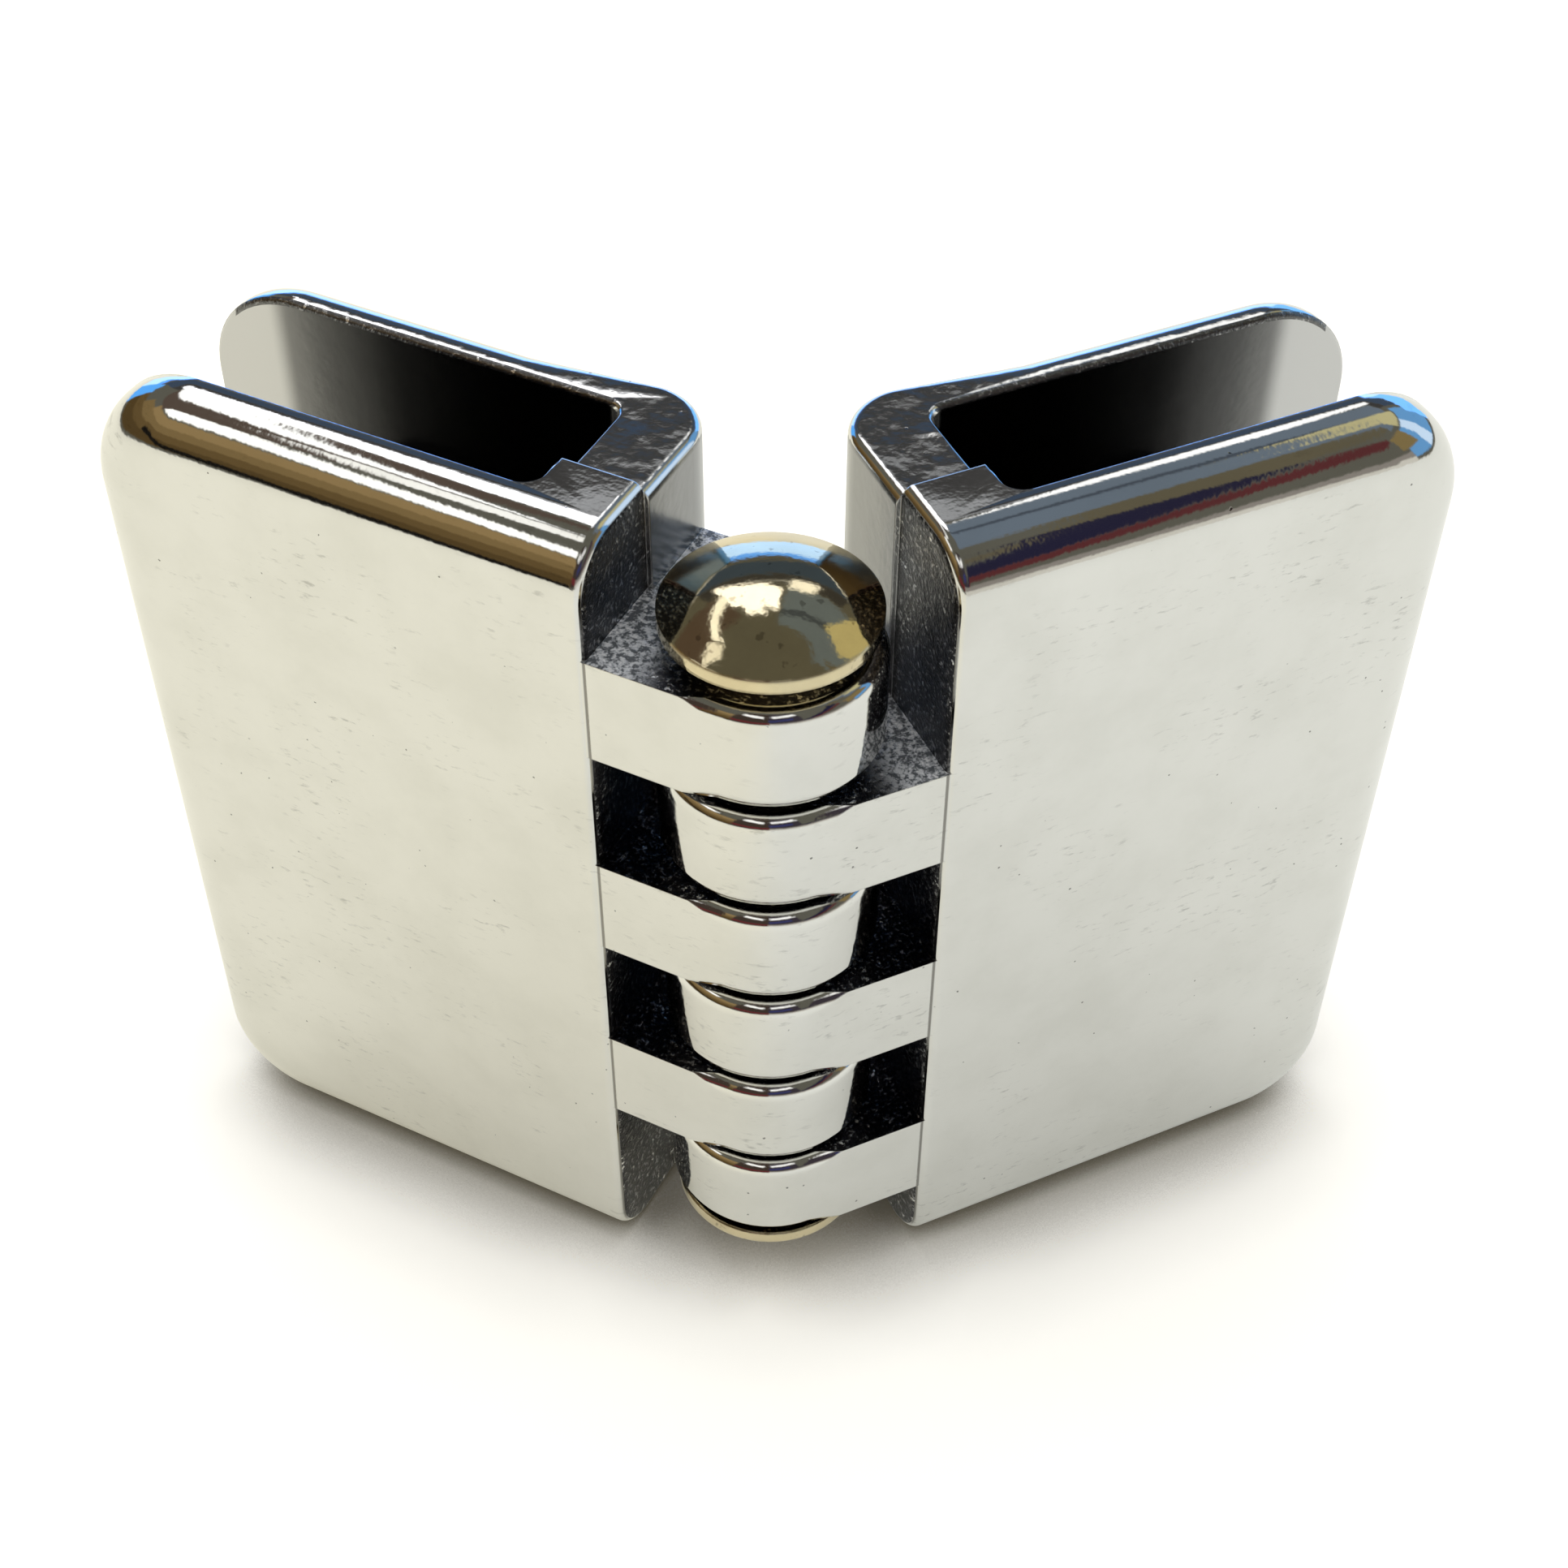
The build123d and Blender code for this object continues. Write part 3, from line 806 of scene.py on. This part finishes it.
# What polished metal reflects, in soft panels. Each panel has its azimuths, counted
# in degrees from the back towards the right, its elevations at the middle azimuth, its rise in
# degrees per degree of azimuth, and its colour. Later panels lie over earlier ones.
ROOM_PANELS = (
    ((-146, -48), (2, 14), 0.0, (0.10, 0.062, 0.022)),
    ((-146, -46), (13, 24), 0.0, (0.15, 0.095, 0.035)),
    ((-146, -60), (23, 34), 0.0, (0.24, 0.16, 0.065)),
    ((-146, -74), (33, 44), 0.0, (0.34, 0.23, 0.10)),
    ((-186, -146), (3, 70), 0.0, (0.060, 0.042, 0.032)),
    ((-186, -146), (6, 17), 0.2, (0.16, 0.028, 0.030)),
    ((-174, -150), (46, 58), 0.4, (1.40, 1.38, 1.34)),
    ((-142, -96), (3, 8.5), 0.50, (0.008, 0.007, 0.006)),
    ((-120, -84), (46, 54), 0.05, (1.60, 1.58, 1.52)),
    ((-84, -28), (43, 62), 0.0, (0.11, 0.080, 0.062)),
    ((-86, -66), (58, 66), 0.0, (1.30, 1.28, 1.22)),
    ((-62, -24), (50.5, 56.5), -0.48, (1.60, 1.60, 1.58)),
    ((8, 90), (43, 70), 0.0, (0.16, 0.20, 0.25)),
    ((8, 60), (57, 61), -0.15, (0.07, 0.085, 0.11)),
    ((46, 76), (38, 58), 0.0, (0.62, 0.56, 0.30)),
    ((84, 120), (47, 57), -0.42, (0.14, 0.12, 0.075)),
    ((150, 186), (12, 70), 0.0, (0.050, 0.040, 0.050)),
    ((158, 186), (22, 34), -0.3, (0.045, 0.050, 0.16)),
    ((150, 178), (48, 60), -0.3, (1.40, 1.38, 1.36)),
    ((108, 150), (25, 36), -0.95, (0.02, 0.018, 0.045)),
    ((108, 160), (14, 21), -0.85, (0.12, 0.030, 0.032)),
    ((100, 186), (5, 12), 0.0, (0.31, 0.28, 0.25)),
    ((100, 186), (-4, 5), 0.0, (0.75, 0.72, 0.64)),
    ((40, 100), (3, 36), 0.0, (0.16, 0.40, 0.75)),
    ((62, 76), (3, 36), 0.0, (0.75, 0.95, 1.20)),
    ((84, 106), (16, 38), 0.0, (0.26, 0.19, 0.08)),
    ((-40, 16), (-5, 15), 0.0, (0.78, 1.25, 2.20)),
    ((-40, 16), (14, 18), 0.0, (0.18, 0.60, 1.90)),
    ((16, 44), (-5, 21), 0.0, (0.30, 0.80, 1.80)),
    ((-34, 36), (22, 34), 0.0, (0.055, 0.080, 0.125)),
    ((-34, 36), (34, 42), 0.0, (0.055, 0.053, 0.052)),
    ((-12, 10), (38.5, 40.5), 0.0, (0.45, 0.46, 0.48)),
    ((-47, -34), (-5, 24), 0.0, (0.14, 0.55, 1.30)),
    ((8, 21), (37, 45), 0.0, (1.50, 1.50, 1.50)),
    ((-27, 5), (41, 58), 0.25, (2.20, 2.20, 2.30)),
    ((-22, -6), (55, 63), 0.10, (2.20, 2.20, 2.30)),
)
ROOM_BASE = (0.130, 0.125, 0.100, 1.0)
TABLE_GLOW = (0.95, 0.92, 0.83, 1.0)
HORIZON = (-2.0, 0.0)
PANEL_EDGE = 0.9

# The table's slow clouding, where its mirrored colour changes from left to right, and how far
# it has to be open to the sky for its full glow and colour; nearer the hinge the glow fades and the colour
# darkens as a painted contact shadow
TABLE_CLOUD_SCALE = 14.0
TABLE_CLOUD_LIFT = 1.03
MIRROR_BORDER = (-25.0 * MM, 15.0 * MM)
GLOW_SHELTER = (0.35, 0.95)
COLOUR_SHELTER = (0.35, 0.85)
SHELTER_SAMPLES = 4

# Camera's sensor in millimetres, and the nearest and farthest that it sees in metres
SENSOR_WIDTH = 36.0
NEAREST = 0.005
FARTHEST = 20.0


def room_reflection(sheet):
    """Colour that a mirror sees in each direction."""
    direction = sheet.add("ShaderNodeTexCoord").outputs["Object"]
    parts = sheet.parts(direction)
    azimuth = sheet.math("DEGREES", sheet.math("ARCTAN2", parts["X"], parts["Y"]))
    elevation = sheet.math("DEGREES", sheet.math("ARCSINE", parts["Z"]))
    colour = sheet.tint(sheet.step(elevation, *HORIZON), TABLE_GLOW, ROOM_BASE)
    for azimuths, elevations, rise, shade in ROOM_PANELS:
        level = elevation
        if rise:
            across = sheet.math("SUBTRACT", azimuth, sum(azimuths) / 2)
            level = sheet.math("SUBTRACT", elevation, sheet.product(across, rise))
        mask = 1.0
        for value, (low, high) in ((azimuth, azimuths), (level, elevations)):
            start = sheet.step(value, low - PANEL_EDGE, low + PANEL_EDGE)
            end = sheet.step(value, high + PANEL_EDGE, high - PANEL_EDGE)
            mask = sheet.product(mask, sheet.product(start, end))
        colour = sheet.tint(mask, colour, (*shade, 1.0))
    return colour


def light_world(settings):
    """Even white light, a white background, and the room as polished metal sees it."""
    world = bpy.data.worlds.new("studio")
    bpy.context.scene.world = world
    world.use_nodes = True
    sheet = NodeSheet(world.node_tree)
    path = sheet.add("ShaderNodeLightPath").outputs
    even = sheet.add("ShaderNodeBackground", {"Color": WHITE, "Strength": settings.sky_strength})
    room = sheet.add("ShaderNodeBackground", {"Color": room_reflection(sheet), "Strength": 1.0})
    backdrop = sheet.add("ShaderNodeBackground", {"Color": WHITE, "Strength": 1.0})
    lit = sheet.add(
        "ShaderNodeMixShader", {0: path["Is Glossy Ray"], 1: even.outputs[0], 2: room.outputs[0]}
    )
    framed = sheet.add(
        "ShaderNodeMixShader", {0: path["Is Camera Ray"], 1: lit.outputs[0], 2: backdrop.outputs[0]}
    )
    sheet.add("ShaderNodeOutputWorld", {"Surface": framed.outputs[0]})


def table_top(settings):
    """Pale table top that shows whiter to the camera and in mirrors, and keeps the hinge's shadow, deepened
    by a painted contact shadow where the hinge shelters it.
    """
    material, sheet = new_material("table_top")
    spot = sheet.add("ShaderNodeTexCoord").outputs["Object"]
    path = sheet.add("ShaderNodeLightPath").outputs
    paler = tuple(min(1.0, channel * TABLE_CLOUD_LIFT) for channel in settings.floor_colour)
    colour = sheet.tint(sheet.noise(spot, TABLE_CLOUD_SCALE, 2.0), settings.floor_colour, paler)
    to_the_right = sheet.step(sheet.parts(spot)["X"], *MIRROR_BORDER)
    mirrored = sheet.tint(to_the_right, settings.mirror_left, settings.mirror_right)
    shelter = sheet.add(
        "ShaderNodeAmbientOcclusion", {"Distance": settings.shadow_reach}, samples=SHELTER_SAMPLES
    ).outputs["AO"]

    mirror_glow = sheet.product(path["Is Glossy Ray"], settings.mirror_glow)
    seen = sheet.math("MULTIPLY_ADD", path["Is Camera Ray"], settings.floor_glow, mirror_glow)
    # The glow fades where the hinge shelters the table, as part of the painted contact shadow
    strength = sheet.product(seen, sheet.step(shelter, *GLOW_SHELTER))
    open_share = sheet.step(shelter, *COLOUR_SHELTER)
    unshaded = sheet.math("ADD", open_share, path["Is Glossy Ray"], clamp=True)
    # Painted contact shadow on the table's colour, left out of what mirrors see
    close = sheet.tint(unshaded, settings.contact_shade, WHITE)
    lit = sheet.tint(path["Is Glossy Ray"], colour, mirrored)
    shaded = sheet.tint(1.0, lit, close, "MULTIPLY")
    matt = sheet.add(
        "ShaderNodeBsdfPrincipled", {"Base Color": shaded, "Roughness": 0.6, "Specular IOR Level": 0.0}
    )
    glow = sheet.add("ShaderNodeEmission", {"Color": colour, "Strength": strength})
    both = sheet.add("ShaderNodeAddShader", {0: matt.outputs[0], 1: glow.outputs[0]})
    sheet.add("ShaderNodeOutputMaterial", {"Surface": both.outputs[0]})
    return material


def lay_floor(settings):
    """Plain table top under the hinge."""
    mesh = bpy.data.meshes.new("table_top")
    floor = bpy.data.objects.new("table_top", mesh)
    bpy.context.scene.collection.objects.link(floor)
    shape = bmesh.new()
    bmesh.ops.create_grid(shape, x_segments=1, y_segments=1, size=settings.floor_size / 2)
    bmesh.ops.translate(shape, verts=shape.verts, vec=(0.0, 0.0, cad_bounds[0][2]))
    shape.to_mesh(mesh)
    shape.free()
    paint(floor, table_top(settings))


def hang_lamp(settings):
    """Large soft lamp above and behind the hinge, which mirrors don't show."""
    lamp = bpy.data.lights.new("soft_lamp", "AREA")
    lamp.shape = "DISK"
    lamp.size = settings.lamp_size
    lamp.energy = settings.lamp_power
    lamp.specular_factor = 0.0
    holder = bpy.data.objects.new("soft_lamp", lamp)
    bpy.context.scene.collection.objects.link(holder)
    holder.visible_glossy = False
    place = Vector(settings.lamp_place)
    aim = place.to_track_quat("Z", "Y").to_matrix().to_4x4()
    holder.matrix_world = Matrix.Translation(place) @ aim


def set_camera(settings):
    """Camera at the photographed angle."""
    camera = bpy.data.cameras.new("camera")
    camera.sensor_fit = "HORIZONTAL"
    camera.sensor_width = SENSOR_WIDTH
    camera.lens = settings.camera_lens
    camera.clip_start = NEAREST
    camera.clip_end = FARTHEST
    holder = bpy.data.objects.new("camera", camera)
    bpy.context.scene.collection.objects.link(holder)
    pan = Matrix.Rotation(settings.camera_pan, 4, "Z")
    tilt = Matrix.Rotation(settings.camera_tilt, 4, "X")
    roll = Matrix.Rotation(settings.camera_roll, 4, "Z")
    holder.matrix_world = Matrix.Translation(settings.camera_place) @ pan @ tilt @ roll
    bpy.context.scene.camera = holder


class CORNERHINGE_OT_stage(bpy.types.Operator):
    """Set up the table, the light and the camera"""

    bl_idname = "corner_hinge.stage"
    bl_label = "Set the Stage"

    def execute(self, context):
        settings = context.scene.corner_hinge_stage
        lay_floor(settings)
        hang_lamp(settings)
        light_world(settings)
        set_camera(settings)
        context.scene.view_settings.view_transform = "Standard"
        return {"FINISHED"}


class CORNERHINGE_PT_panel(bpy.types.Panel):
    """Lists the steps of the hinge's finish with their settings"""

    bl_label = "Corner Hinge"
    bl_idname = "CORNERHINGE_PT_panel"
    bl_space_type = "VIEW_3D"
    bl_region_type = "UI"
    bl_category = "Corner Hinge"

    def draw(self, context):
        for operator, group in STEPS:
            box = self.layout.box()
            box.operator(operator.bl_idname)
            settings = getattr(context.scene, group)
            for name in settings.__annotations__:
                box.prop(settings, name)


STEPS = (
    (CORNERHINGE_OT_castings, "corner_hinge_castings"),
    (CORNERHINGE_OT_pin, "corner_hinge_pin"),
    (CORNERHINGE_OT_clamps, "corner_hinge_clamps"),
    (CORNERHINGE_OT_stage, "corner_hinge_stage"),
)
SETTINGS = {
    "corner_hinge_castings": CastingSettings,
    "corner_hinge_pin": PinSettings,
    "corner_hinge_clamps": ClampSettings,
    "corner_hinge_stage": StageSettings,
}
CLASSES = (*SETTINGS.values(), *(operator for operator, group in STEPS), CORNERHINGE_PT_panel)


def register():
    for item in CLASSES:
        bpy.utils.register_class(item)
    for name, group in SETTINGS.items():
        setattr(bpy.types.Scene, name, bpy.props.PointerProperty(type=group))


def unregister():
    for name in SETTINGS:
        delattr(bpy.types.Scene, name)
    for item in reversed(CLASSES):
        bpy.utils.unregister_class(item)


def main():
    """Make every piece and the stage."""
    register()
    bpy.ops.corner_hinge.castings()
    bpy.ops.corner_hinge.pin()
    bpy.ops.corner_hinge.clamps()
    bpy.ops.corner_hinge.stage()


if __name__ == "__main__":
    main()
